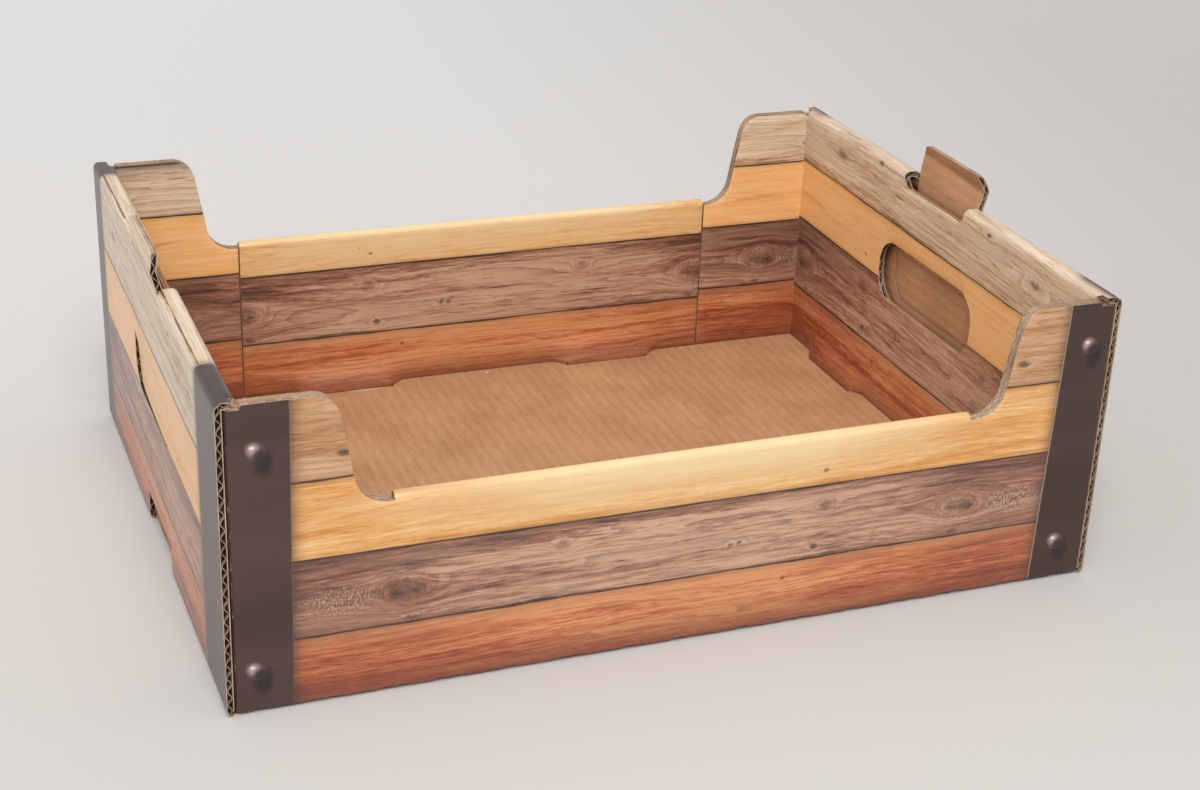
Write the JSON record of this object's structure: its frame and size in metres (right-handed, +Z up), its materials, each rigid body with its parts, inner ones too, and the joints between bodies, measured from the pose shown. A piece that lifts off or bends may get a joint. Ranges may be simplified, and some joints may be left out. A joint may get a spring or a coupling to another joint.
{
  "type": "stackable cardboard produce crate",
  "caption": "Open stackable produce crate folded from one printed corrugated sheet, with raised corners, stacking tabs and push-in hand hole flaps.",
  "frame": {"origin": "middle of the crate's length and width, on the underside of the floor", "axes": "+X along the long walls, +Y across the crate from the front wall to the back wall, +Z up"},
  "size_m": [0.404, 0.3, 0.1535],
  "materials": {
    "printed_board": "matte printed liner on corrugated board"
  },
  "bodies": {
    "crate": {"crate_body": "printed_board"},
    "left_flap": {"left_hand_flap": "printed_board"},
    "right_flap": {"right_hand_flap": "printed_board"}
  },
  "joints": [
    {"name": "left_flap_crease", "type": "hinge", "parent": "crate", "child": "left_flap", "pos_m": [-0.197, 0, 0.091], "axis": [0, -1, 0], "range_deg": [0, 100]},
    {"name": "right_flap_crease", "type": "hinge", "parent": "crate", "child": "right_flap", "pos_m": [0.197, 0, 0.091], "axis": [0, 1, 0], "range_deg": [0, 100]}
  ]
}
